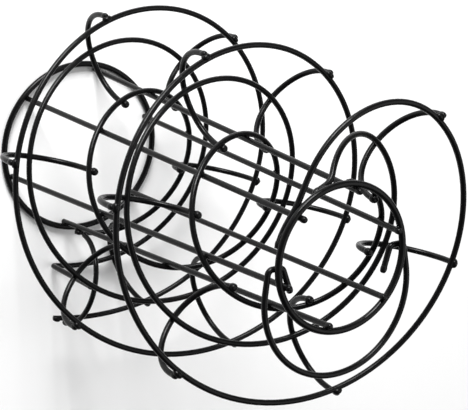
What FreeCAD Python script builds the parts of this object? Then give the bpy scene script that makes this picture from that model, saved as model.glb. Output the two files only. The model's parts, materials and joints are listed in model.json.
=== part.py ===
"""Spiral dispenser rack of coated round wire.

A tapering cage of straight uprights stands between a base ring and a smaller top ring.
A channel of three rails winds round the cage, carried on U-shaped cradle arms, and ends
at an arched stop near the floor.  A wire bail is hooked under the top ring and swings.
Every piece is one bent wire.  Wires that are welded are pressed a little into each other.

Frame: +Z up, origin on the floor at the cage's axis, uprights at 0, 60, 120 ... degrees.
"""
import FreeCAD, Part
import math
import os

# ---- wire stock, millimetres (diameters) ----
RING_WIRE = 3.9
UPRIGHT_WIRE = 3.4
RAIL_WIRE = 3.4
CRADLE_WIRE = 3.4
HANDLE_WIRE = 3.4
WELD_SINK = 0.3            # how far two welded wires are pressed into each other
END_ROUND = 1.0            # rounding of a cut wire end

# ---- cage ----
BASE_RING_R = 54.8         # radius of the base ring's centre line
TOP_RING_R = 40.3          # radius of the top ring's centre line
CAGE_HEIGHT = 294.0        # from one ring's centre line to the other's
UPRIGHT_COUNT = 6
UPRIGHT_PROUD = 2.2        # how far an upright stands above the top ring's upper side

# ---- channel ----
CHANNEL_WIDTH = 52.5       # inner rail's centre line to the outer rail's
MIDDLE_OFFSET = 28.0       # inner rail's centre line to the middle rail's
CHANNEL_TURNS = 2.466      # turns from the stop to where the inner rail meets the top ring
OUTER_RISE = 7.4           # outer rail above the inner rail
CRADLE_RISE = 2.0          # centre of the cradle's half circle above the inner rail
INNER_TIP_PROUD = 3.1      # a cradle arm's inner end above the inner rail's centre line
OUTER_TIP_PROUD = 0.8      # its outer end above the outer rail's centre line
CRADLE_PER_TURN = 6
FLOOR_GAP = 2.2            # lowest cradle arm above the floor
RAIL_FLOOR_GAP = 0.3       # middle rail above the floor where it levels out
LEVEL_SOFTNESS = 1.0       # how gently a rail levels out at the floor or under the ring
LOW_END_AZIMUTH = 180.0    # where the channel ends, degrees round from +X

# ---- how each rail runs in under the top ring, degrees past where the inner one meets it ----
INNER_END = 19.0
MIDDLE_LEAVES = -22.0
MIDDLE_LANDS = 34.0
MIDDLE_DIVE = 2.5          # over 1, the middle rail turns in late and lands steeply
MIDDLE_END = 50.0
OUTER_LEAVES = -16.0
OUTER_LANDS = 75.0
OUTER_END = 101.0

# ---- end stop and the middle rail's upturned post ----
INNER_OVERRUN = 2.0        # degrees that the inner rail runs past the end stop
OUTER_OVERRUN = 4.5        # degrees that the outer rail runs past the end stop
OUTER_FLARE = 4.0          # how far the outer rail spreads outwards at the end stop
STOP_CROWN = 34.5          # top of the arch above the inner rail's lower end
STOP_LAP = 2.0             # how far the arch's end goes past the centre of the outer rail
POST_BEND_R = 4.0
POST_PROUD = 2.0           # post's end above the arch where they cross

# ---- carry handle ----
HINGE_AZIMUTH = 105.0      # the handle folds towards this angle plus 90
HINGE_GAP = 0.3            # below the top ring
HOOK_GAP = 0.4             # beside the top ring and beside an upright
HOOK_BEND_R = 3.0
HANDLE_BOW_WIDER = 6.2     # radius of the bow over the top ring's
HANDLE_LEG = 10.4          # straight leg between a hook and the bow
TAIL_LEAN = 18.6           # degrees inwards
TAIL_REACH = 14.6          # how far the hook's tail reaches from the hinge line

POINT_STEP = 20.0          # degrees between the points that a rail's arcs are drawn through
WAY_STEP = 0.5             # degrees each way over which a rail's direction is taken

# ---- what follows from those ----
RING_LAP = RING_WIRE / 2 + UPRIGHT_WIRE / 2 - WELD_SINK
UNDER_RING = RING_WIRE / 2 + RAIL_WIRE / 2 - WELD_SINK
RAIL_TO_UPRIGHT = UPRIGHT_WIRE / 2 + RAIL_WIRE / 2 - WELD_SINK
RAIL_TO_CRADLE = CRADLE_WIRE / 2 + RAIL_WIRE / 2 - WELD_SINK
CRADLE_R = CHANNEL_WIDTH / 2 + RAIL_TO_CRADLE
CRADLE_STEP = 360.0 / CRADLE_PER_TURN
FIRST_CRADLE = CRADLE_STEP / 2
BASE_Z = RING_WIRE / 2
TOP_Z = BASE_Z + CAGE_HEIGHT
JOIN_Z = TOP_Z - UNDER_RING
JOIN_TURN = CHANNEL_TURNS * 360.0
# The lowest cradle arm clears the floor, which sets the channel's start and its pitch.
LOWEST_CRADLE_Z = CRADLE_R + CRADLE_WIRE / 2 + FLOOR_GAP - CRADLE_RISE
PITCH = (JOIN_Z - LOWEST_CRADLE_Z) / (CHANNEL_TURNS - FIRST_CRADLE / 360.0)
START_Z = LOWEST_CRADLE_Z - PITCH * FIRST_CRADLE / 360.0
CRADLE_COUNT = int((JOIN_TURN - FIRST_CRADLE) // CRADLE_STEP) + 1
HINGE_Z = TOP_Z - RING_WIRE / 2 - HANDLE_WIRE / 2 - HINGE_GAP
HANDLE_BOW_R = TOP_RING_R + HANDLE_BOW_WIDER

Vec = FreeCAD.Vector


def polar(radius, turn, z):
    """Point at a radius, at an angle up the channel from its low end, and at a height."""
    a = math.radians(LOW_END_AZIMUTH + turn)
    return Vec(radius * math.cos(a), radius * math.sin(a), z)


def upright_radius(z):
    """Distance of an upright's centre line from the axis at a height."""
    share = (z - BASE_Z) / CAGE_HEIGHT
    return BASE_RING_R + (TOP_RING_R - BASE_RING_R) * share - RING_LAP


def inner_z(turn):
    return START_Z + PITCH * turn / 360.0


def inner_radius(turn):
    """The inner rail lies against the outside of the uprights."""
    return upright_radius(min(inner_z(turn), JOIN_Z)) + RAIL_TO_UPRIGHT


def middle_z(turn):
    """The middle rail lies in the cradle arms, near their lowest point."""
    off_middle = MIDDLE_OFFSET - CHANNEL_WIDTH / 2
    return inner_z(turn) + CRADLE_RISE - math.sqrt((CRADLE_R - RAIL_TO_CRADLE) ** 2 - off_middle ** 2)


def outer_z(turn):
    return inner_z(turn) + OUTER_RISE


def soft(x):
    """Zero far below x = 0 and x far above it, with a smooth corner."""
    if x > 30 * LEVEL_SOFTNESS:
        return x
    return LEVEL_SOFTNESS * math.log(1 + math.exp(x / LEVEL_SOFTNESS))


def below_ring(z):
    return JOIN_Z - soft(JOIN_Z - z)


def above_floor(z):
    floor = RAIL_WIRE / 2 + RAIL_FLOOR_GAP
    return floor + soft(z - floor)


def ramp(turn, start, end):
    """0 until start, 1 from end on, and straight between, in degrees past the ring's meeting."""
    return max(0.0, min(1.0, (turn - JOIN_TURN - start) / (end - start)))


def mix(a, b, t):
    return a + (b - a) * t


def inner_point(turn):
    return polar(inner_radius(turn), turn, below_ring(inner_z(turn)))


def middle_point(turn):
    t = ramp(turn, MIDDLE_LEAVES, MIDDLE_LANDS) ** MIDDLE_DIVE
    radius = mix(inner_radius(turn) + MIDDLE_OFFSET, TOP_RING_R, t)
    z = mix(above_floor(middle_z(turn)), JOIN_Z, t)
    return polar(radius, turn, z)


def outer_radius(turn):
    """The outer rail keeps the channel's width as far down as the first cradle arm, then spreads."""
    past_arm = max(0.0, 1 - turn / FIRST_CRADLE)
    return inner_radius(turn) + CHANNEL_WIDTH + OUTER_FLARE * past_arm ** 2


def outer_point(turn):
    t = ramp(turn, OUTER_LEAVES, OUTER_LANDS)
    radius = mix(outer_radius(turn), TOP_RING_R, t * t * (3 - 2 * t))
    return polar(radius, turn, below_ring(outer_z(turn)))


def tangent_arc(start, corner, end):
    """Arc from start to end, tangent there to the two equal lines that meet at the corner."""
    middle = (start + end) * 0.5
    half_chord = (end - start).Length / 2
    height = (corner - middle).Length
    sagitta = half_chord * math.tan(math.atan2(height, half_chord) / 2)
    return Part.Arc(start, middle + (corner - middle) * (sagitta / height), end).toShape()


def arc_pair(start, start_way, end, end_way):
    """Two arcs that leave start and reach end in the given directions and join smoothly."""
    span = end - start
    ways = start_way + end_way
    turned = 2 * (1 - start_way.dot(end_way))
    leg = (math.sqrt(span.dot(ways) ** 2 + turned * span.dot(span)) - span.dot(ways)) / turned
    corner_1 = start + start_way * leg
    corner_2 = end - end_way * leg
    joint = (corner_1 + corner_2) * 0.5
    return [tangent_arc(start, corner_1, joint), tangent_arc(joint, corner_2, end)]


def rail_way(point_at, turn):
    """Direction in which a rail runs down at a turn."""
    return (point_at(turn - WAY_STEP) - point_at(turn + WAY_STEP)).normalize()


def rail_path(point_at, low, high):
    """Arcs along a rail's curve from its high end to its low end."""
    count = int(math.ceil((high - low) / POINT_STEP))
    turns = [high + (low - high) * i / count for i in range(count + 1)]
    path = []
    for a, b in zip(turns, turns[1:]):
        path.extend(arc_pair(point_at(a), rail_way(point_at, a), point_at(b), rail_way(point_at, b)))
    return path


def wire_along(edges, diameter):
    """Round wire swept along joined edges."""
    path = Part.Wire(edges)
    first = path.OrderedEdges[0]
    start = path.OrderedVertexes[0].Point
    at_start = (first.valueAt(first.FirstParameter) - start).Length < 1e-6
    end_param = first.FirstParameter if at_start else first.LastParameter
    profile = Part.Wire(Part.makeCircle(diameter / 2, start, first.tangentAt(end_param)))
    return path.makePipeShell([profile], True, False)


def round_ends(solid, ends):
    """Rounds the rims of the flat faces whose centres are at the given points."""
    rims = []
    for face in solid.Faces:
        if any((face.CenterOfMass - p).Length < 0.2 for p in ends):
            rims.extend(face.Edges)
    return solid.makeFillet(END_ROUND, rims)


def save(name, shape):
    solid = shape.Solids[0]
    print("%-16s volume %9.1f  solids %d  valid %s" % (name, solid.Volume, len(shape.Solids),
                                                      solid.isValid()))
    solid.exportStep("parts/%s.step" % name)


# ---- pieces ----
def make_ring(radius, z):
    return Part.makeTorus(radius, RING_WIRE / 2, Vec(0, 0, z))


def make_upright(azimuth):
    """Straight wire from the floor to just above the top ring, inside both rings."""
    a = math.radians(azimuth)
    z_high = TOP_Z + RING_WIRE / 2 + UPRIGHT_PROUD
    low = Vec(upright_radius(0) * math.cos(a), upright_radius(0) * math.sin(a), 0)
    high = Vec(upright_radius(z_high) * math.cos(a), upright_radius(z_high) * math.sin(a), z_high)
    along = (high - low).normalize()
    # A slanted wire's rim would dip below the floor, so it starts that much higher.
    low = low + along * (UPRIGHT_WIRE / 2 * math.hypot(along.x, along.y))
    solid = Part.makeCylinder(UPRIGHT_WIRE / 2, (high - low).Length, low, along)
    return round_ends(solid, [low, high])


def make_inner_rail():
    low, high = -INNER_OVERRUN, JOIN_TURN + INNER_END
    return wire_along(rail_path(inner_point, low, high), RAIL_WIRE)


def make_outer_rail():
    low, high = -OUTER_OVERRUN, JOIN_TURN + OUTER_END
    return wire_along(rail_path(outer_point, low, high), RAIL_WIRE)


def stop_arch_circle():
    """Centre's distance from the axis, its height, and the radius of the end stop's arch.

    The arch lands on top of the inner rail and passes beside the outer one."""
    inner = polar(inner_radius(0), 0, inner_z(0) + RAIL_WIRE / 2 - WELD_SINK)
    outer_r = outer_radius(0) + RAIL_TO_CRADLE
    outer = polar(outer_r, 0, outer_z(0))
    crown = polar((inner_radius(0) + outer_r) / 2, 0, inner_z(0) + STOP_CROWN)
    circle = Part.Arc(inner, crown, outer).toShape().Curve
    return math.hypot(circle.Center.x, circle.Center.y), circle.Center.z, circle.Radius


def stop_arch_point(angle):
    """Point of the arch at an angle up from its outer side."""
    centre_r, centre_z, radius = stop_arch_circle()
    return polar(centre_r + radius * math.cos(angle), 0, centre_z + radius * math.sin(angle))


def make_end_stop():
    centre_r, centre_z, radius = stop_arch_circle()
    low_angle = math.asin((outer_z(0) - centre_z) / radius) - STOP_LAP / radius
    high_angle = math.acos((inner_radius(0) - centre_r) / radius)
    ends = [stop_arch_point(low_angle), stop_arch_point(high_angle)]
    middle = stop_arch_point((low_angle + high_angle) / 2)
    arch = Part.Arc(ends[0], middle, ends[1]).toShape()
    return round_ends(wire_along([arch], CRADLE_WIRE), ends)


def arch_height(radius):
    """Height of the end stop's centre line at a distance from the axis."""
    centre_r, centre_z, arch_radius = stop_arch_circle()
    return centre_z + math.sqrt(arch_radius ** 2 - (radius - centre_r) ** 2)


def make_middle_rail():
    """Rail whose low end turns up into a post welded to the far side of the end stop."""
    radius = inner_radius(0) + MIDDLE_OFFSET
    post_turn = -math.degrees(RAIL_TO_CRADLE / radius)
    low = post_turn + math.degrees(POST_BEND_R / radius)
    high = JOIN_TURN + MIDDLE_END
    bend_from = middle_point(low)
    corner = bend_from + rail_way(middle_point, low) * POST_BEND_R
    bend_to = corner + Vec(0, 0, POST_BEND_R)
    tip = Vec(corner.x, corner.y, arch_height(radius) + POST_PROUD)
    bend = tangent_arc(bend_from, corner, bend_to)
    post = Part.LineSegment(bend_to, tip).toShape()
    return round_ends(wire_along(rail_path(middle_point, low, high) + [bend, post], RAIL_WIRE), [tip])


def make_cradle_arm(turn):
    """U in the plane through the axis: half circle under the channel with two upright legs."""
    r_in = inner_radius(turn) - RAIL_TO_CRADLE
    r_out = inner_radius(turn) + CHANNEL_WIDTH + RAIL_TO_CRADLE
    z_mid = inner_z(turn) + CRADLE_RISE
    tip_in = polar(r_in, turn, inner_z(turn) + INNER_TIP_PROUD)
    low_in = polar(r_in, turn, z_mid)
    bottom = polar((r_in + r_out) / 2, turn, z_mid - CRADLE_R)
    low_out = polar(r_out, turn, z_mid)
    tip_out = polar(r_out, turn, outer_z(turn) + OUTER_TIP_PROUD)
    path = [Part.LineSegment(tip_in, low_in).toShape(),
            Part.Arc(low_in, bottom, low_out).toShape(),
            Part.LineSegment(low_out, tip_out).toShape()]
    return round_ends(wire_along(path, CRADLE_WIRE), [tip_in, tip_out])


def hook_outer_centre():
    """Bend centre of the hook's leg, across from the handle's middle line."""
    beside_ring = TOP_RING_R + RING_WIRE / 2 + HANDLE_WIRE / 2 + HOOK_GAP
    return beside_ring - HOOK_BEND_R


def hook_inner_centre():
    """Bend centre of the hook's tail, so that the leaning tail clears the nearest upright."""
    spacing = 360.0 / UPRIGHT_COUNT
    apart = math.radians(spacing / 2 - abs(HINGE_AZIMUTH % spacing - spacing / 2))
    radius = upright_radius(HINGE_Z)
    across, along = radius * math.cos(apart), radius * math.sin(apart)
    lean = math.radians(TAIL_LEAN)
    clear = UPRIGHT_WIRE / 2 + HANDLE_WIRE / 2 + HOOK_GAP
    # The tail's line is tangent to the bend, and passes the upright at that clearance.
    beside_upright = (across * math.cos(lean) + (along - HOOK_BEND_R) * math.sin(lean)
                      - clear + HOOK_BEND_R) / math.cos(lean)
    beside_ring = TOP_RING_R - RING_WIRE / 2 - HANDLE_WIRE / 2 - HOOK_GAP + HOOK_BEND_R
    return min(beside_upright, beside_ring, hook_outer_centre() - HOOK_GAP)


def make_handle():
    """Bail drawn flat: across is along the hinge line, out is towards the bow."""
    def bend_point(centre, heading):
        h = math.radians(heading)
        return (centre + HOOK_BEND_R * math.sin(h), HOOK_BEND_R - HOOK_BEND_R * math.cos(h))

    c_in, c_out = hook_inner_centre(), hook_outer_centre()
    # Each leg is tangent to its hook's bend and to the bow, which sets the bow's centre.
    from_bend = HANDLE_BOW_R - HOOK_BEND_R
    reach = math.sqrt(from_bend ** 2 + HANDLE_LEG ** 2 - c_out ** 2)
    bow_out = HOOK_BEND_R + reach
    leg_heading = math.degrees(math.atan2(c_out, reach) + math.atan2(HANDLE_LEG, from_bend))
    tail_heading = TAIL_LEAN - 90.0
    tail_low = bend_point(c_in, tail_heading)
    drop = TAIL_REACH - tail_low[1]
    tail_tip = (tail_low[0] - drop * math.tan(math.radians(TAIL_LEAN)), TAIL_REACH)
    tail_mid = bend_point(c_in, tail_heading / 2)
    cross_in = (c_in, 0.0)
    cross_out = (c_out, 0.0)
    leg_mid = bend_point(c_out, leg_heading / 2)
    leg_low = bend_point(c_out, leg_heading)
    h = math.radians(leg_heading)
    leg_high = (HANDLE_BOW_R * math.sin(h), bow_out - HANDLE_BOW_R * math.cos(h))
    bow_top = (0.0, bow_out + HANDLE_BOW_R)

    def place(p, side):
        return Vec(side * p[0], p[1], 0)

    def half(side):
        at = [place(p, side) for p in (tail_tip, tail_low, tail_mid, cross_in, cross_out,
                                       leg_mid, leg_low, leg_high)]
        return [Part.LineSegment(at[0], at[1]).toShape(),
                Part.Arc(at[1], at[2], at[3]).toShape(),
                Part.LineSegment(at[3], at[4]).toShape(),
                Part.Arc(at[4], at[5], at[6]).toShape(),
                Part.LineSegment(at[6], at[7]).toShape()]

    bow = Part.Arc(place(leg_high, 1), place(bow_top, 1), place(leg_high, -1)).toShape()
    edges = half(1) + [bow] + list(reversed(half(-1)))
    tips = [place(tail_tip, 1), place(tail_tip, -1)]
    handle = round_ends(wire_along(edges, HANDLE_WIRE), tips)
    handle.rotate(Vec(0, 0, 0), Vec(0, 0, 1), HINGE_AZIMUTH)
    handle.translate(Vec(0, 0, HINGE_Z))
    return handle


os.makedirs("parts", exist_ok=True)
save("base_ring", make_ring(BASE_RING_R, BASE_Z))
save("top_ring", make_ring(TOP_RING_R, TOP_Z))
for i in range(UPRIGHT_COUNT):
    save("upright_%d" % (i + 1), make_upright(360.0 * i / UPRIGHT_COUNT))
save("inner_rail", make_inner_rail())
save("middle_rail", make_middle_rail())
save("outer_rail", make_outer_rail())
for i in range(CRADLE_COUNT):
    save("cradle_arm_%02d" % (i + 1), make_cradle_arm(FIRST_CRADLE + i * CRADLE_STEP))
save("end_stop", make_end_stop())
save("carry_handle", make_handle())
print("pitch %.2f  start z %.2f  join turn %.1f" % (PITCH, START_Z, JOIN_TURN))
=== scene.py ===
"""Looks of the spiral egg rack: black powder coat, weld beads and coated wire ends.

The rack's wires come from the frame and stay as they are.  This file lays their coat on
them, adds the bead of metal at every weld and the thick drop of coat on every cut end,
and sets the stage.  Sizes are in millimetres and degrees unless a name says otherwise.
"""
import json
import math

import bpy
import numpy as np
from bpy.props import FloatProperty, FloatVectorProperty, PointerProperty
from mathutils import Matrix, Vector


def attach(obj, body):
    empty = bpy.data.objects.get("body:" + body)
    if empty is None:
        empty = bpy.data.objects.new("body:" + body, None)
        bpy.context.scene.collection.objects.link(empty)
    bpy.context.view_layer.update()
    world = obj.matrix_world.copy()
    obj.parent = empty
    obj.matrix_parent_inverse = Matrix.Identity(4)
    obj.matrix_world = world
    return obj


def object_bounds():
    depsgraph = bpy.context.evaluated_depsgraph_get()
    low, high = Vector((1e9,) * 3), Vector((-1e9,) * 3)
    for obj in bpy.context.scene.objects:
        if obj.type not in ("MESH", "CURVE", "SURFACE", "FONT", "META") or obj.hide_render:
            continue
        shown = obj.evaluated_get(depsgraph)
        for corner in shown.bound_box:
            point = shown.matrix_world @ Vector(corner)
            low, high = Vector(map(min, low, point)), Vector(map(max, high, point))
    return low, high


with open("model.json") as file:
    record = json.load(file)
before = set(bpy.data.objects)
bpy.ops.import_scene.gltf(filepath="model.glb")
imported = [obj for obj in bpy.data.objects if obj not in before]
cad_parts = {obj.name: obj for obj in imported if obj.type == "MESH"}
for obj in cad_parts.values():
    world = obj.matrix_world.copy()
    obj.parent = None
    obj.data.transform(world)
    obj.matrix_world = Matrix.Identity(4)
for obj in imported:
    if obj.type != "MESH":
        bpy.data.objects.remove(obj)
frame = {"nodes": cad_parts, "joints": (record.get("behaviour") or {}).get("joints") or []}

bl_info = {
    "name": "Spiral egg rack",
    "version": (1, 0, 0),
    "blender": (4, 5, 0),
    "location": "View3D > Sidebar > Egg Rack",
    "description": "Coat, weld beads and coated wire ends of a spiral egg rack",
    "category": "Object",
}

MM = 0.001
RACK = "rack"
BAIL = "bail"
COAT = "black_coat"
CAD_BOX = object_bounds()
HINGE = frame["joints"][0]

# ---- wires, as the frame has them ----
WIRE_R = 1.7
RING_WIRE_R = 1.95
SINK = 0.3                 # how far two welded wires are pressed into each other
TOUCH = WIRE_R - SINK / 2  # from a wire's middle to the middle of its weld
RING_TOUCH = RING_WIRE_R - SINK / 2
BASE_RING_R = 54.8         # to the middle of the ring's wire
TOP_RING_R = 40.3
CAGE_HEIGHT = 294.0        # from one ring's middle to the other's
UPRIGHTS = 6
BASE_Z = RING_WIRE_R
TOP_Z = BASE_Z + CAGE_HEIGHT
JOIN_Z = TOP_Z - RING_WIRE_R - WIRE_R + SINK   # rails' middle where they lie under the top ring
UPRIGHT_PROUD = 2.2        # upright's end above the top ring's upper side

# ---- channel ----
CHANNEL_WIDTH = 52.5       # inner rail's middle line to the outer rail's
MIDDLE_OFFSET = 28.0       # inner rail's middle line to the middle rail's
LOW_END_AZIMUTH = 180.0    # where the end stop stands; turns of the channel count from it
START_Z = 22.11            # inner rail's height at the end stop
PITCH = 109.69             # rise in one turn
JOIN_TURN = 887.8          # turn at which the inner rail meets the top ring
OUTER_RISE = 7.4           # outer rail above the inner one
CRADLE_RISE = 2.0          # middle of an arm's half circle above the inner rail
INNER_TIP_PROUD = 3.1      # arm's inner end above the inner rail's middle line
OUTER_TIP_PROUD = 0.8      # arm's outer end above the outer rail's middle line
FIRST_CRADLE = 30.0
CRADLE_STEP = 60.0
CRADLES = 15
CRADLE_R = CHANNEL_WIDTH / 2 + 2 * TOUCH

# ---- ends ----
INNER_OVERRUN = 2.0        # degrees that a rail goes on below the end stop
OUTER_OVERRUN = 4.5
OUTER_FLARE = 4.0          # how far the outer rail spreads outwards at the end stop
RUN_IN_ENDS = (19.0, 50.0, 101.0)  # inner, middle and outer rail's ends past the joining turn
STOP_CROWN = 34.5          # top of the end stop's arch above the inner rail's low end
STOP_LAP = 2.0             # how far the arch goes on below the outer rail's middle line
POST_PROUD = 2.0           # middle rail's post above its crossing with the arch
TAIL_LEAN = 18.6           # degrees that a tail of the bail leans inwards
TAIL_TIP = (30.2, 14.6)    # tail's end: along the hinge line from the axis, and towards the bow

# ---- beads and drops ----
LUMP_ROWS = 15
LUMP_COLUMNS = 22
WELD_FULLNESS = 0.8        # 1 is an ellipsoid, less is blunter
END_FULLNESS = 0.55
TWO_WAVE = 0.6             # shares of a lump's unevenness in two and in three waves a turn
THREE_WAVE = 0.4
DROP_SKEW = 0.5            # keeps a drop's sideways direction off its wire's own
RING_WELD_SCALE = 0.85     # keeps the base ring's beads off the floor
OUTER_WELD_SCALE = 1.35    # the outer rail's beads cover the arms' ends
OUTER_WELD_UP = 0.5        # how far those beads sit above the outer rail's middle line
BALL_SWELL = 0.45          # how much further than other drops the arms' inner drops stand out
RUN_IN_WELD_BACK = 7.0     # degrees from a rail's end back to the middle of its weld
RUN_IN_WELD_STRETCH = 2.2

# ---- coat and floor ----
COAT_SPECULAR = 0.12
TONE_SCALE = 60.0          # noise scales are per metre
GLOSS_SCALE = 220.0
GLOSS_NOISE = (0.3, 0.7)   # part of the noise's range that the gloss uses
BUMP_STRENGTH = 0.5
FLOOR_TONE_SCALE = 1.5
FLOOR_DARKER = 0.985       # the floor's darker tone over its lighter one
FLOOR_ROUGHNESS = 0.9
FLOOR_SPECULAR = 0.1

# ---- stage ----
FLOOR_SQUARES = 24
CAMERA_NEAR = 0.05         # metres
KEY_WAY = (0.978, 0.545, 0.444)    # from the rack towards the light
KEY_DISTANCE = 1.6         # metres, as the sides below
KEY_SIDE = 0.7
FILL_WAY = (0.1, -0.5, 0.9)
FILL_DISTANCE = 2.2
FILL_SIDE = 2.4


# ---- where the wires run: arrays in, arrays out ----
def polar(radius, turn, z):
    """Points at a radius, at an angle up the channel from its low end, and at a height."""
    a = np.radians(LOW_END_AZIMUTH + turn)
    return np.stack(np.broadcast_arrays(radius * np.cos(a), radius * np.sin(a), z), axis=-1)


def outwards(turn):
    """Unit directions away from the axis at a turn of the channel."""
    return polar(1.0, np.asarray(turn, float), 0.0)


def along_turn(turn, slope=0.0):
    """Unit directions in which the turn grows, rising by a slope."""
    way = polar(1.0, np.asarray(turn, float) + 90.0, slope)
    return way / np.linalg.norm(way, axis=-1, keepdims=True)


def upright_radius(z):
    """An upright's middle line leans from inside the base ring to inside the top ring."""
    share = (z - BASE_Z) / CAGE_HEIGHT
    return BASE_RING_R + (TOP_RING_R - BASE_RING_R) * share - (RING_WIRE_R + WIRE_R - SINK)


def upright_lean():
    """Change of an upright's radius per unit of height."""
    return (TOP_RING_R - BASE_RING_R) / CAGE_HEIGHT


def inner_z(turn):
    """The inner rail climbs by the pitch in every turn."""
    return START_Z + PITCH * turn / 360.0


def inner_radius(turn):
    """The inner rail lies against the outside of the uprights."""
    return upright_radius(np.minimum(inner_z(turn), TOP_Z)) + 2 * TOUCH


def outer_radius(turn):
    """The outer rail keeps its width down to the first cradle arm, then spreads as a square."""
    past_arm = np.maximum(0.0, 1 - np.asarray(turn) / FIRST_CRADLE)
    return inner_radius(turn) + CHANNEL_WIDTH + OUTER_FLARE * past_arm ** 2


def outer_z(turn):
    """The outer rail climbs with the inner one and levels softly under the top ring."""
    return JOIN_Z - np.logaddexp(0.0, JOIN_Z - inner_z(turn) - OUTER_RISE)


def rail_slope(radius):
    """Rise of a rail per unit of its run at a radius."""
    return PITCH / (2 * math.pi * radius)


def stop_arch():
    """Centre's radius, height, and radius of the arch: the circle through three points.

    The points are the inner rail's top, the crown, and a point beside the outer rail."""
    x = np.array([inner_radius(0.0), 0.0, outer_radius(0.0) + 2 * TOUCH])
    x[1] = (x[0] + x[2]) / 2
    z = START_Z + np.array([WIRE_R - SINK, STOP_CROWN, OUTER_RISE])
    lines = np.stack([x[1:] - x[:-1], z[1:] - z[:-1]], axis=1)
    halves = np.stack([(x[1:] + x[:-1]) / 2, (z[1:] + z[:-1]) / 2], axis=1)
    centre = np.linalg.solve(lines, (lines * halves).sum(axis=1))
    return centre[0], centre[1], math.hypot(x[1] - centre[0], z[1] - centre[1])


# ---- shapes ----
def unit(v):
    """Vectors at length one."""
    v = np.asarray(v, float)
    return v / np.linalg.norm(v, axis=-1, keepdims=True)


def lumps(middles, poles, longs, halves, fullness, unevenness, seed):
    """Closed rounded lumps, one for each middle.

    A lump is a superellipsoid on two angles: its distance from the line through its
    poles is the sine of the first angle, raised to the fullness, and its height along
    that line is the cosine.  Round the line it is wider along one direction than across
    it, and two slow waves, of two and three to the turn, make each one a little uneven."""
    middles = np.atleast_2d(np.asarray(middles, float))
    count = len(middles)
    pole = unit(np.broadcast_to(poles, middles.shape))
    long_way = np.broadcast_to(np.asarray(longs, float), middles.shape)
    long_way = unit(long_way - (long_way * pole).sum(-1, keepdims=True) * pole)
    across = np.cross(pole, long_way)
    rows, columns = LUMP_ROWS, LUMP_COLUMNS
    down = np.linspace(0.0, math.pi, rows)[1:-1, None]
    about = np.linspace(0.0, 2 * math.pi, columns, endpoint=False)[None, :]
    draw = np.random.default_rng(seed)
    phase = draw.uniform(0, 2 * math.pi, (count, 2, 1, 1))
    swell = 1 + unevenness * (TWO_WAVE * np.cos(2 * about + phase[:, 0])
                              + THREE_WAVE * np.cos(3 * about + 2 * down + phase[:, 1]))
    wide = swell * np.sin(down) ** fullness
    high = np.broadcast_to(np.cos(down), wide.shape)
    half_long, half_across, half_high = halves
    sides = (middles[:, None, None, :]
             + (half_long * wide * np.cos(about))[..., None] * long_way[:, None, None, :]
             + (half_across * wide * np.sin(about))[..., None] * across[:, None, None, :]
             + (half_high * high)[..., None] * pole[:, None, None, :])
    tops = middles + half_high * pole
    feet = middles - half_high * pole
    body = sides.reshape(count, -1, 3)
    return np.concatenate([body, tops[:, None], feet[:, None]], axis=1)


def lump_faces(count):
    """Four-sided faces between a lump's rows and three-sided ones round its two poles."""
    rows, columns = LUMP_ROWS - 2, LUMP_COLUMNS
    i, j = np.meshgrid(np.arange(rows - 1), np.arange(columns), indexing="ij")
    k = (j + 1) % columns
    quads = np.stack([i * columns + j, (i + 1) * columns + j,
                      (i + 1) * columns + k, i * columns + k], axis=-1).reshape(-1, 4)
    j = np.arange(columns)
    k = (j + 1) % columns
    last = (rows - 1) * columns
    top, foot = rows * columns, rows * columns + 1
    caps = np.concatenate([np.stack([np.full(columns, top), j, k], axis=-1),
                           np.stack([np.full(columns, foot), last + k, last + j], axis=-1)])
    shift = (np.arange(count) * (rows * columns + 2))[:, None, None]
    return ((quads[None] + shift).reshape(-1, 4).tolist()
            + (caps[None] + shift).reshape(-1, 3).tolist())


def add_piece(name, parts, body, finish):
    """One smooth mesh out of groups of lumps, riding on a body of the frame."""
    points = np.concatenate(parts)
    mesh = bpy.data.meshes.new(name)
    mesh.from_pydata((points.reshape(-1, 3) * MM).tolist(), [], lump_faces(len(points)))
    mesh.polygons.foreach_set("use_smooth", np.ones(len(mesh.polygons), bool))
    mesh.materials.append(finish)
    mesh.update()
    piece = bpy.data.objects.new(name, mesh)
    bpy.context.scene.collection.objects.link(piece)
    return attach(piece, body)


# ---- finish and stage settings ----
class RackFinish(bpy.types.PropertyGroup):
    """Black powder coat."""
    coat_dark: FloatVectorProperty(name="Coat, dark", description="Darkest tone of the coat",
                                   subtype="COLOR", default=(0.0015, 0.0015, 0.0016))
    coat_light: FloatVectorProperty(name="Coat, light", description="Lightest tone of the coat",
                                    subtype="COLOR", default=(0.004, 0.004, 0.0042))
    gloss_low: FloatProperty(name="Roughness, smooth", default=0.18, min=0, max=1,
                             description="Roughness where the coat flowed out smooth")
    gloss_high: FloatProperty(name="Roughness, dull", default=0.32, min=0, max=1,
                              description="Roughness where the coat stayed dull")
    peel_size: FloatProperty(name="Orange peel", default=0.9, min=0.1, max=5,
                             description="Width of the coat's small dimples, millimetres")
    peel_depth: FloatProperty(name="Orange peel depth", default=0.02, min=0, max=0.2,
                              description="Depth of the dimples, millimetres")


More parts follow.
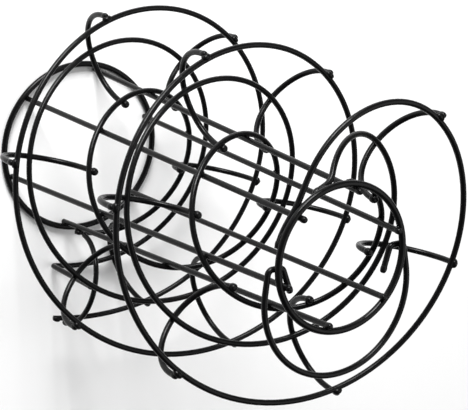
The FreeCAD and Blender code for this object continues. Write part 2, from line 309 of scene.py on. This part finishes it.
class RackBeads(bpy.types.PropertyGroup):
    """Weld beads and coated ends."""
    weld_long: FloatProperty(name="Bead length", default=2.2, min=1, max=4,
                             description="Half the length of a weld bead, millimetres")
    weld_wide: FloatProperty(name="Bead width", default=1.75, min=1, max=4,
                             description="Half the width of a weld bead, millimetres")
    weld_high: FloatProperty(name="Bead height", default=1.4, min=0.5, max=3,
                             description="Half the height of a weld bead, millimetres")
    uneven: FloatProperty(name="Unevenness", default=0.07, min=0, max=0.3,
                          description="How much the beads differ from a regular shape")
    end_long: FloatProperty(name="End drop length", default=2.5, min=1, max=6,
                            description="Half the length of the drop on a cut end, millimetres")
    end_swell: FloatProperty(name="End drop swell", default=0.22, min=0, max=1,
                             description="How far the drop stands out from the wire, millimetres")
    end_proud: FloatProperty(name="End drop over the end", default=0.3, min=0, max=2,
                             description="How far the drop reaches past the cut end, millimetres")


class RackStage(bpy.types.PropertyGroup):
    """Floor, light and camera."""
    floor: FloatVectorProperty(name="Floor", description="Colour of the floor",
                               subtype="COLOR", default=(0.93, 0.93, 0.93))
    floor_size: FloatProperty(name="Floor size", description="Length of the floor's side",
                              subtype="DISTANCE", default=12.0)
    sky: FloatProperty(name="Sky", description="Strength of the even light all round",
                       default=0.14, min=0)
    key: FloatProperty(name="Key light", description="Power of the main soft light",
                       subtype="POWER", default=54.0, min=0)
    fill: FloatProperty(name="Fill light", description="Power of the weaker soft light",
                        subtype="POWER", default=30.0, min=0)
    lens: FloatProperty(name="Lens", description="Camera's focal length, millimetres",
                        default=140.1, min=10)
    camera_at: FloatVectorProperty(name="Camera", description="Place of the camera",
                                   subtype="TRANSLATION", default=(0.14265, 0.59690, 1.03901))
    camera_aim: FloatVectorProperty(name="Aim", description="Point that the camera looks at",
                                    subtype="TRANSLATION", default=(-0.00048, -0.01826, 0.16290))
    camera_roll: FloatProperty(name="Roll", description="Turn of the camera about its own axis",
                               subtype="ANGLE", default=math.radians(112.898))


# ---- materials ----
def node(tree, kind, **sockets):
    """A node with values on its input sockets."""
    made = tree.nodes.new(kind)
    for name, value in sockets.items():
        made.inputs[name.replace("_", " ")].default_value = value
    return made


def powder_coat(finish):
    """Satin black coat: slow change of tone, drifting gloss and a fine orange peel."""
    coat = bpy.data.materials.get(COAT + "_finish")
    if coat:
        return coat
    coat = bpy.data.materials.new(COAT + "_finish")
    coat.use_nodes = True
    tree = coat.node_tree
    link = tree.links.new
    shader = tree.nodes["Principled BSDF"]
    shader.inputs["Specular IOR Level"].default_value = COAT_SPECULAR
    place = tree.nodes.new("ShaderNodeTexCoord").outputs["Object"]
    tone = node(tree, "ShaderNodeTexNoise", Scale=TONE_SCALE, Detail=3.0, Roughness=0.5)
    mix = tree.nodes.new("ShaderNodeMix")
    mix.data_type = "RGBA"
    mix.inputs["A"].default_value = (*finish.coat_dark, 1)
    mix.inputs["B"].default_value = (*finish.coat_light, 1)
    gloss = node(tree, "ShaderNodeTexNoise", Scale=GLOSS_SCALE, Detail=4.0, Roughness=0.55)
    spread = node(tree, "ShaderNodeMapRange", From_Min=GLOSS_NOISE[0],
                  From_Max=GLOSS_NOISE[1], To_Min=finish.gloss_low,
                  To_Max=finish.gloss_high)
    peel = node(tree, "ShaderNodeTexNoise", Scale=1 / (finish.peel_size * MM), Detail=2.0,
                Roughness=0.45)
    bump = node(tree, "ShaderNodeBump", Strength=BUMP_STRENGTH,
                Distance=finish.peel_depth * MM)
    for texture in (tone, gloss, peel):
        link(place, texture.inputs["Vector"])
    link(tone.outputs["Fac"], mix.inputs["Factor"])
    link(mix.outputs["Result"], shader.inputs["Base Color"])
    link(gloss.outputs["Fac"], spread.inputs["Value"])
    link(spread.outputs["Result"], shader.inputs["Roughness"])
    link(peel.outputs["Fac"], bump.inputs["Height"])
    link(bump.outputs["Normal"], shader.inputs["Normal"])
    return coat


def floor_paint(stage):
    """Plain pale matt floor with a barely visible change of tone."""
    paint = bpy.data.materials.new("pale_floor")
    paint.use_nodes = True
    tree = paint.node_tree
    shader = tree.nodes["Principled BSDF"]
    shader.inputs["Roughness"].default_value = FLOOR_ROUGHNESS
    shader.inputs["Specular IOR Level"].default_value = FLOOR_SPECULAR
    place = tree.nodes.new("ShaderNodeTexCoord").outputs["Object"]
    tone = node(tree, "ShaderNodeTexNoise", Scale=FLOOR_TONE_SCALE, Detail=1.0)
    mix = tree.nodes.new("ShaderNodeMix")
    mix.data_type = "RGBA"
    mix.inputs["A"].default_value = (*stage.floor, 1)
    mix.inputs["B"].default_value = (*(FLOOR_DARKER * c for c in stage.floor), 1)
    tree.links.new(place, tone.inputs["Vector"])
    tree.links.new(tone.outputs["Fac"], mix.inputs["Factor"])
    tree.links.new(mix.outputs["Result"], shader.inputs["Base Color"])
    return paint


# ---- pieces ----
UP = np.array([0.0, 0.0, 1.0])
CRADLE_TURNS = FIRST_CRADLE + CRADLE_STEP * np.arange(CRADLES)
UPRIGHT_TURNS = 360.0 / UPRIGHTS * np.arange(UPRIGHTS)


def weld_halves(beads, scale=1.0, stretch=1.0):
    """Half length, half width and half height of a bead."""
    return (beads.weld_long * scale * stretch, beads.weld_wide * scale, beads.weld_high * scale)


def end_drops(beads, tips, ways, seed, ball=0.0):
    """Drops of coat on wire ends: each a lump along the wire that reaches past its tip."""
    ways = unit(np.broadcast_to(ways, np.shape(tips)))
    middles = tips - ways * (beads.end_long - beads.end_proud)
    sideways = np.cross(ways, UP) + np.cross(ways, outwards(0.0)) * DROP_SKEW
    swollen = WIRE_R + beads.end_swell + ball
    return lumps(middles, ways, sideways, (swollen, swollen, beads.end_long),
                 END_FULLNESS, beads.uneven / 2, seed)


class RACK_OT_lay_coat(bpy.types.Operator):
    """Lay the black powder coat on every wire of the frame"""
    bl_idname = "rack.lay_coat"
    bl_label = "Coat the wires"

    def execute(self, context):
        coat = powder_coat(context.scene.rack_finish)
        for wire in frame["nodes"].values():
            if not wire.material_slots:
                wire.data.materials.append(coat)
            for place in wire.material_slots:
                place.material = coat
        return {"FINISHED"}


class RACK_OT_cradle_welds(bpy.types.Operator):
    """Weld beads where the cradle arms carry the three rails"""
    bl_idname = "rack.cradle_welds"
    bl_label = "Cradle welds"

    def execute(self, context):
        beads, coat = context.scene.rack_beads, powder_coat(context.scene.rack_finish)
        turns, radius = CRADLE_TURNS, inner_radius(CRADLE_TURNS)
        off_middle = MIDDLE_OFFSET - CHANNEL_WIDTH / 2
        low_z = inner_z(turns) + CRADLE_RISE - math.sqrt((CRADLE_R - TOUCH) ** 2 - off_middle ** 2)
        spots = {
            "inner": (polar(radius - TOUCH, turns, inner_z(turns)), outwards(turns), radius),
            "middle": (polar(radius + MIDDLE_OFFSET, turns, low_z), UP, radius + MIDDLE_OFFSET),
            "outer": (polar(radius + CHANNEL_WIDTH + TOUCH, turns, outer_z(turns) + OUTER_WELD_UP),
                      outwards(turns), radius + CHANNEL_WIDTH),
        }
        for seed, (rail, (middles, pole, run)) in enumerate(spots.items()):
            longs = along_turn(turns, rail_slope(run))
            halves = weld_halves(beads, OUTER_WELD_SCALE if rail == "outer" else 1.0)
            made = lumps(middles, pole, longs, halves, WELD_FULLNESS, beads.uneven, seed)
            add_piece("welds_cradles_%s_rail" % rail, [made], RACK, coat)
        return {"FINISHED"}


class RACK_OT_cage_welds(bpy.types.Operator):
    """Weld beads that hold the uprights to both rings and to the inner rail"""
    bl_idname = "rack.cage_welds"
    bl_label = "Cage welds"

    def execute(self, context):
        beads, coat = context.scene.rack_beads, powder_coat(context.scene.rack_finish)
        turns = UPRIGHT_TURNS
        for name, ring_r, z, seed in (("base", BASE_RING_R, BASE_Z, 11),
                                      ("top", TOP_RING_R, TOP_Z, 12)):
            made = lumps(polar(ring_r - RING_TOUCH, turns, z), outwards(turns),
                         along_turn(turns), weld_halves(beads, RING_WELD_SCALE),
                         WELD_FULLNESS, beads.uneven, seed)
            add_piece("welds_%s_ring" % name, [made], RACK, coat)
        turns = np.arange(0.0, JOIN_TURN, 360.0 / UPRIGHTS)
        z = inner_z(turns)
        radius = upright_radius(z)
        made = lumps(polar(radius + TOUCH, turns, z), outwards(turns),
                     along_turn(turns, rail_slope(radius)), weld_halves(beads),
                     WELD_FULLNESS, beads.uneven, 13)
        add_piece("welds_uprights_inner_rail", [made], RACK, coat)
        return {"FINISHED"}


class RACK_OT_run_in_welds(bpy.types.Operator):
    """Long weld beads where the three rails end under the top ring"""
    bl_idname = "rack.run_in_welds"
    bl_label = "Run-in welds"

    def execute(self, context):
        beads, coat = context.scene.rack_beads, powder_coat(context.scene.rack_finish)
        turns = JOIN_TURN + np.array(RUN_IN_ENDS) - RUN_IN_WELD_BACK
        middles = polar(TOP_RING_R, turns, TOP_Z - RING_TOUCH)
        halves = weld_halves(beads, 1.0, RUN_IN_WELD_STRETCH)
        made = lumps(middles, UP, along_turn(turns), halves, WELD_FULLNESS, beads.uneven, 21)
        add_piece("welds_run_in", [made], RACK, coat)
        return {"FINISHED"}


def stop_post_crossing():
    """Radius and height where the middle rail's upright post crosses the arch."""
    arch_r, arch_z, size = stop_arch()
    radius = inner_radius(0.0) + MIDDLE_OFFSET
    return radius, arch_z + math.sqrt(size ** 2 - (radius - arch_r) ** 2)


class RACK_OT_stop_welds(bpy.types.Operator):
    """Weld beads at the end stop: on both rails and on the middle rail's post"""
    bl_idname = "rack.stop_welds"
    bl_label = "End stop welds"

    def execute(self, context):
        beads, coat = context.scene.rack_beads, powder_coat(context.scene.rack_finish)
        across_r, across_z = stop_post_crossing()
        forward, out = along_turn(0.0), outwards(0.0)
        # The first bead lies on the inner rail, below the arch's free inner end.
        middles = np.array([
            polar(inner_radius(0.0), 0.0, START_Z + TOUCH),
            polar(outer_radius(0.0) + TOUCH, 0.0, START_Z + OUTER_RISE),
            polar(across_r, 0.0, across_z) - forward * TOUCH,
        ])
        made = lumps(middles, np.array([UP, out, forward]), np.array([forward, forward, UP]),
                     weld_halves(beads), WELD_FULLNESS, beads.uneven, 31)
        add_piece("welds_end_stop", [made], RACK, coat)
        return {"FINISHED"}


class RACK_OT_coated_ends(bpy.types.Operator):
    """Thick rounded drops of coat on every cut end of a wire"""
    bl_idname = "rack.coated_ends"
    bl_label = "Coated ends"

    def execute(self, context):
        beads, coat = context.scene.rack_beads, powder_coat(context.scene.rack_finish)
        turns, radius = CRADLE_TURNS, inner_radius(CRADLE_TURNS)
        tips_in = polar(radius - 2 * TOUCH, turns, inner_z(turns) + INNER_TIP_PROUD)
        tips_out = polar(radius + CHANNEL_WIDTH + 2 * TOUCH, turns,
                         inner_z(turns) + OUTER_RISE + OUTER_TIP_PROUD)
        add_piece("coated_ends_cradle_arms", [end_drops(beads, tips_in, UP, 41, BALL_SWELL),
                                              end_drops(beads, tips_out, UP, 42)], RACK, coat)
        z = TOP_Z + RING_WIRE_R + UPRIGHT_PROUD
        ways = outwards(UPRIGHT_TURNS) * upright_lean() + UP
        tips = polar(upright_radius(z), UPRIGHT_TURNS, z)
        add_piece("coated_ends_uprights", [end_drops(beads, tips, ways, 43)], RACK, coat)
        self.rails(beads, coat)
        self.stop(beads, coat)
        self.bail(beads, coat)
        return {"FINISHED"}

    def rails(self, beads, coat):
        run_in = JOIN_TURN + np.array(RUN_IN_ENDS)
        low_turns = np.array([-INNER_OVERRUN, -OUTER_OVERRUN])
        low_r = np.array([inner_radius(low_turns[0]), outer_radius(low_turns[1])])
        low_z = inner_z(low_turns) + np.array([0.0, OUTER_RISE])
        tips = np.concatenate([polar(TOP_RING_R, run_in, JOIN_Z), polar(low_r, low_turns, low_z)])
        ways = np.concatenate([along_turn(run_in), -along_turn(low_turns, rail_slope(low_r[0]))])
        add_piece("coated_ends_rails", [end_drops(beads, tips, ways, 44)], RACK, coat)

    def stop(self, beads, coat):
        arch_r, arch_z, size = stop_arch()
        angle = math.asin((START_Z + OUTER_RISE - arch_z) / size) - STOP_LAP / size
        foot = polar(arch_r + size * math.cos(angle), 0.0, arch_z + size * math.sin(angle))
        foot_way = outwards(0.0) * math.sin(angle) - UP * math.cos(angle)
        post_r, post_z = stop_post_crossing()
        post = polar(post_r, 0.0, post_z + POST_PROUD) - along_turn(0.0) * 2 * TOUCH
        tips = np.array([foot, post])
        ways = np.array([foot_way, UP])
        add_piece("coated_ends_stop_and_post", [end_drops(beads, tips, ways, 45)], RACK, coat)

    def bail(self, beads, coat):
        hinge_z = HINGE["pos_m"][2] / MM
        along = np.array(HINGE["axis"])
        out = np.cross(UP, along)
        lean = math.radians(TAIL_LEAN)
        sides = np.array([[1.0], [-1.0]])
        tips = sides * along * TAIL_TIP[0] + out * TAIL_TIP[1] + UP * hinge_z
        ways = -sides * along * math.sin(lean) + out * math.cos(lean)
        add_piece("coated_ends_bail", [end_drops(beads, tips, ways, 46)], BAIL, coat)


# ---- stage ----
def soft_light(name, way, distance, side, power):
    """Square soft light at a distance from the rack's middle, facing it."""
    low, high = CAD_BOX
    middle = (low + high) / 2
    data = bpy.data.lights.new(name, "AREA")
    data.energy = power
    data.size = side
    light = bpy.data.objects.new(name, data)
    way = Vector(way).normalized()
    light.location = middle + way * distance
    light.rotation_euler = way.to_track_quat("Z", "Y").to_euler()
    bpy.context.scene.collection.objects.link(light)


def camera_turn(at, aim, roll):
    """Turn of a camera that looks from at to aim, rolled about its own axis."""
    back = (Vector(at) - Vector(aim)).normalized()
    right = Vector((0, 0, 1)).cross(back).normalized()
    upright = Matrix((right, back.cross(right), back)).transposed()
    return (upright @ Matrix.Rotation(roll, 3, "Z")).to_euler()


def lay_floor(stage):
    """Square floor under the rack, in a grid of squares."""
    half = stage.floor_size / 2
    ticks = np.linspace(-half, half, FLOOR_SQUARES + 1)
    x, y = np.meshgrid(ticks, ticks, indexing="xy")
    corners = np.stack([x, y, np.zeros_like(x)], axis=-1).reshape(-1, 3)
    row, column = np.meshgrid(np.arange(FLOOR_SQUARES), np.arange(FLOOR_SQUARES), indexing="ij")
    first = (row * (FLOOR_SQUARES + 1) + column).ravel()
    squares = np.stack([first, first + 1, first + FLOOR_SQUARES + 2,
                        first + FLOOR_SQUARES + 1], axis=-1)
    mesh = bpy.data.meshes.new("floor")
    mesh.from_pydata(corners.tolist(), [], squares.tolist())
    mesh.materials.append(floor_paint(stage))
    floor = bpy.data.objects.new("floor", mesh)
    bpy.context.scene.collection.objects.link(floor)


def even_sky(stage):
    """White light from all round."""
    world = bpy.data.worlds.new("studio")
    world.use_nodes = True
    sky = world.node_tree.nodes["Background"]
    sky.inputs["Color"].default_value = (1, 1, 1, 1)
    sky.inputs["Strength"].default_value = stage.sky
    bpy.context.scene.world = world


def place_camera(stage):
    """Camera at its place, turned to its aim."""
    lens = bpy.data.cameras.new("camera")
    lens.lens = stage.lens
    lens.clip_start = CAMERA_NEAR
    camera = bpy.data.objects.new("camera", lens)
    camera.location = stage.camera_at
    camera.rotation_euler = camera_turn(stage.camera_at, stage.camera_aim, stage.camera_roll)
    bpy.context.scene.collection.objects.link(camera)
    bpy.context.scene.camera = camera


class RACK_OT_set_stage(bpy.types.Operator):
    """Pale floor, soft studio light and the camera"""
    bl_idname = "rack.set_stage"
    bl_label = "Stage"

    def execute(self, context):
        stage = context.scene.rack_stage
        lay_floor(stage)
        even_sky(stage)
        context.scene.view_settings.view_transform = "Standard"
        soft_light("key", KEY_WAY, KEY_DISTANCE, KEY_SIDE, stage.key)
        soft_light("fill", FILL_WAY, FILL_DISTANCE, FILL_SIDE, stage.fill)
        place_camera(stage)
        return {"FINISHED"}


# ---- sidebar ----
MAKERS = (RACK_OT_lay_coat, RACK_OT_cradle_welds, RACK_OT_cage_welds, RACK_OT_run_in_welds,
          RACK_OT_stop_welds, RACK_OT_coated_ends, RACK_OT_set_stage)
GROUPS = {"rack_finish": RackFinish, "rack_beads": RackBeads, "rack_stage": RackStage}


class RACK_PT_sidebar(bpy.types.Panel):
    """The rack's pieces and their sizes"""
    bl_idname = "RACK_PT_sidebar"
    bl_label = "Egg rack"
    bl_space_type = "VIEW_3D"
    bl_region_type = "UI"
    bl_category = "Egg Rack"

    def draw(self, context):
        for group, kind in GROUPS.items():
            box = self.layout.box()
            box.label(text=kind.__doc__)
            for size in kind.__annotations__:
                box.prop(getattr(context.scene, group), size)
        for maker in MAKERS:
            self.layout.operator(maker.bl_idname)


def register():
    for kind in (*GROUPS.values(), *MAKERS, RACK_PT_sidebar):
        bpy.utils.register_class(kind)
    for group, kind in GROUPS.items():
        setattr(bpy.types.Scene, group, PointerProperty(type=kind))


def unregister():
    for group in GROUPS:
        delattr(bpy.types.Scene, group)
    for kind in reversed((*GROUPS.values(), *MAKERS, RACK_PT_sidebar)):
        bpy.utils.unregister_class(kind)


def main():
    register()
    for maker in MAKERS:
        area, name = maker.bl_idname.split(".")
        getattr(getattr(bpy.ops, area), name)()


if __name__ == "__main__":
    main()
